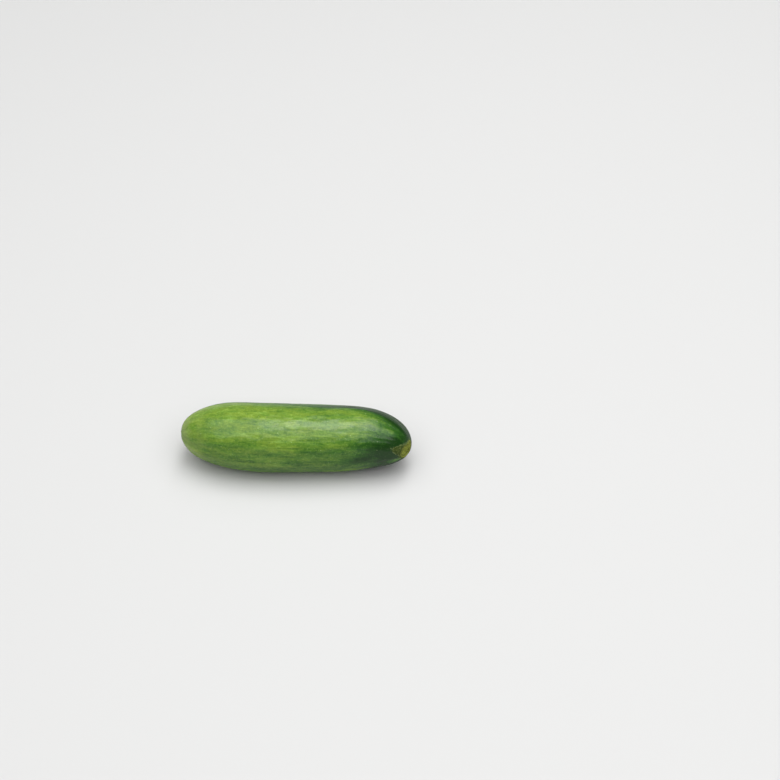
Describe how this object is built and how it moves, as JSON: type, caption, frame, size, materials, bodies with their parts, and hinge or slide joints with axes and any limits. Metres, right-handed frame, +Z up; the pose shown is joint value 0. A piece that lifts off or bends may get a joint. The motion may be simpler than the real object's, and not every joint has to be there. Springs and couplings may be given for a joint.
{
  "type": "baby cucumber",
  "caption": "Short smooth-skinned cucumber, slightly bent, with an oblique scar at its tapered stem end and a rounded blossom end, lying on its belly.",
  "frame": {"origin": "on the surface the fruit lies on, under the middle of its bounding box", "axes": "+X along the chord from the blossom end to the stem end, +Z up from the belly it lies on"},
  "size_m": [0.1022, 0.0334, 0.0305],
  "materials": {
    "skin": "satin, waxy green skin"
  },
  "bodies": {
    "root": {"cucumber": "skin"}
  },
  "joints": []
}
